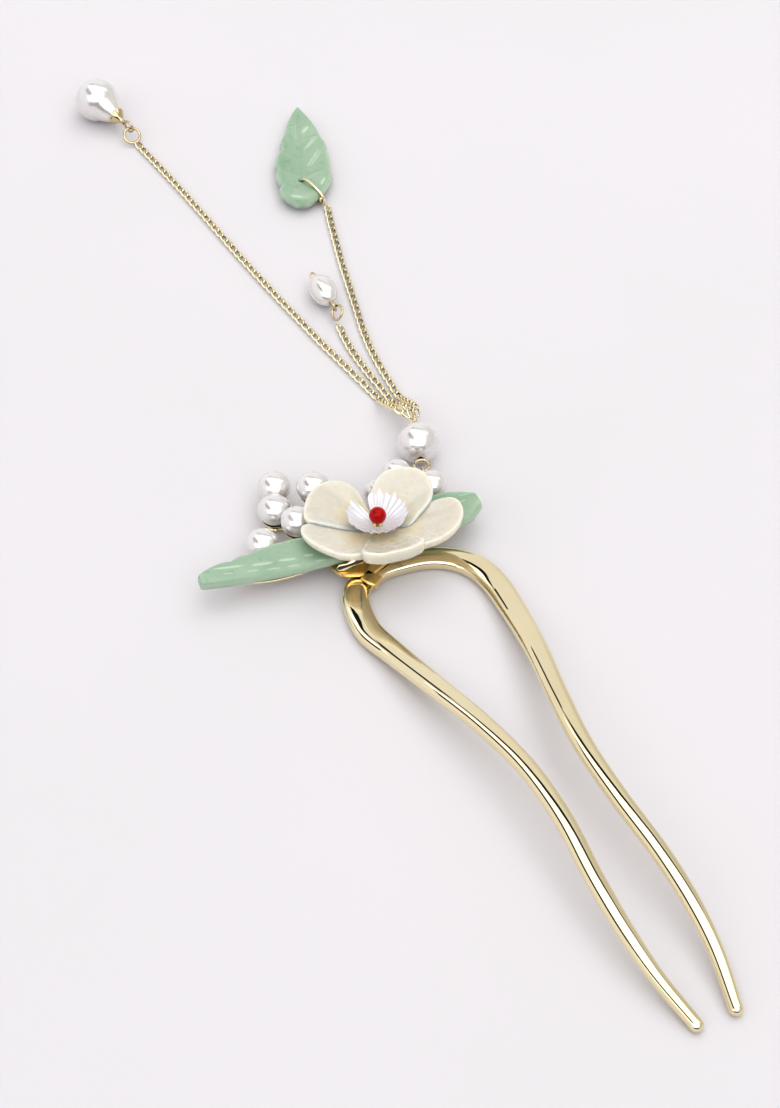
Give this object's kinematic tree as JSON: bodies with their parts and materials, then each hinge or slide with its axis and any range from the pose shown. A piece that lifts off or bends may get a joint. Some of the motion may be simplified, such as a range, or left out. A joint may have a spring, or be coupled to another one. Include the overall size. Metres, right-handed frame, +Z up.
{
  "type": "decorative hair pin",
  "caption": "Gold-tone hair fork with a milk-glass flower, green glass leaves, pearl sprays and a chain tassel with pearl and leaf drops.",
  "frame": {"origin": "on the flat underside of the fork's arch, at its crown, on the surface that the pin lies on", "axes": "+Z up from the resting surface, towards the flower's face; the prongs run along -Y and the tassel is laid out along +Y; +X completes the right-handed frame. The prongs mirror each other about X = 0, and the arch leans a little to -X"},
  "size_m": [0.077, 0.2693, 0.0133],
  "materials": {
    "polished_gold": "polished pale champagne-gold plating",
    "gold_wire": "polished gold-plated wire and fine twisted curb chain",
    "milk_glass": "glossy moulded cream-white translucent glass with an amber tint near the middle",
    "green_glass": "glossy moulded pale green translucent glass with pale vein dashes",
    "pearl": "white pearl with a soft lustre",
    "shell_cup": "fluted silver-white cup with a pale iridescent coating",
    "red_glass": "deep red polished bead"
  },
  "bodies": {
    "root": {"hair_fork": "polished_gold", "ornament_plate": "polished_gold", "pearl_branch": "polished_gold", "button_pearl_1": "pearl", "pearl_cup_1": "polished_gold", "button_pearl_2": "pearl", "pearl_cup_2": "polished_gold", "button_pearl_3": "pearl", "pearl_cup_3": "polished_gold", "button_pearl_4": "pearl", "pearl_cup_4": "polished_gold", "button_pearl_5": "pearl", "pearl_cup_5": "polished_gold", "button_pearl_6": "pearl", "pearl_cup_6": "polished_gold", "button_pearl_7": "pearl", "pearl_cup_7": "polished_gold", "button_pearl_8": "pearl", "pearl_cup_8": "polished_gold", "left_leaf": "green_glass", "right_leaf": "green_glass", "left_leaf_backing": "polished_gold", "right_leaf_backing": "polished_gold", "glass_flower": "milk_glass", "flower_cup": "shell_cup", "red_bead": "red_glass", "flower_pin": "gold_wire"},
    "tassel_ring": {"tassel_ring": "gold_wire"},
    "pearl_link": {"big_pearl": "pearl", "pearl_eye_pin": "gold_wire"},
    "long_chain": {"long_chain": "gold_wire"},
    "short_chain": {"short_chain": "gold_wire"},
    "leaf_chain": {"leaf_chain": "gold_wire"},
    "drop_pendant": {"drop_ring": "gold_wire", "drop_cap": "gold_wire", "drop_pearl": "pearl"},
    "leaf_pendant": {"charm_bail": "gold_wire", "leaf_charm": "green_glass"},
    "rice_pendant": {"rice_ring": "gold_wire", "rice_pin": "gold_wire", "rice_pearl": "pearl"}
  },
  "joints": [
    {"name": "ring_swing", "type": "hinge", "parent": "root", "child": "tassel_ring", "pos_m": [0.01255, 0.01733, 0.00235], "axis": [0.9455, -0.3256, 0], "range_deg": [-60, 30]},
    {"name": "pearl_turn", "type": "hinge", "parent": "tassel_ring", "child": "pearl_link", "pos_m": [0.01328, 0.01944, 0.00335], "axis": [0, 0, 1], "range_deg": [-15, 10]},
    {"name": "long_chain_swing", "type": "hinge", "parent": "pearl_link", "child": "long_chain", "pos_m": [0.01713, 0.03061, 0.00459], "axis": [1, 0, 0], "range_deg": [-60, 60]},
    {"name": "short_chain_swing", "type": "hinge", "parent": "pearl_link", "child": "short_chain", "pos_m": [0.01713, 0.03061, 0.00459], "axis": [1, 0, 0], "range_deg": [-60, 60]},
    {"name": "leaf_chain_swing", "type": "hinge", "parent": "pearl_link", "child": "leaf_chain", "pos_m": [0.01713, 0.03061, 0.00459], "axis": [1, 0, 0], "range_deg": [-60, 60]},
    {"name": "drop_swing", "type": "hinge", "parent": "long_chain", "child": "drop_pendant", "pos_m": [0.004, 0.13665, 0.0008], "axis": [1, 0, 0], "range_deg": [-60, 60]},
    {"name": "leaf_swing", "type": "hinge", "parent": "leaf_chain", "child": "leaf_pendant", "pos_m": [0.03107, 0.10054, 0.0018], "axis": [0.9449, 0.3273, 0], "range_deg": [-45, 45]},
    {"name": "rice_swing", "type": "hinge", "parent": "short_chain", "child": "rice_pendant", "pos_m": [0.0182, 0.06587, 0.00228], "axis": [1, 0, 0], "range_deg": [-60, 60]}
  ]
}
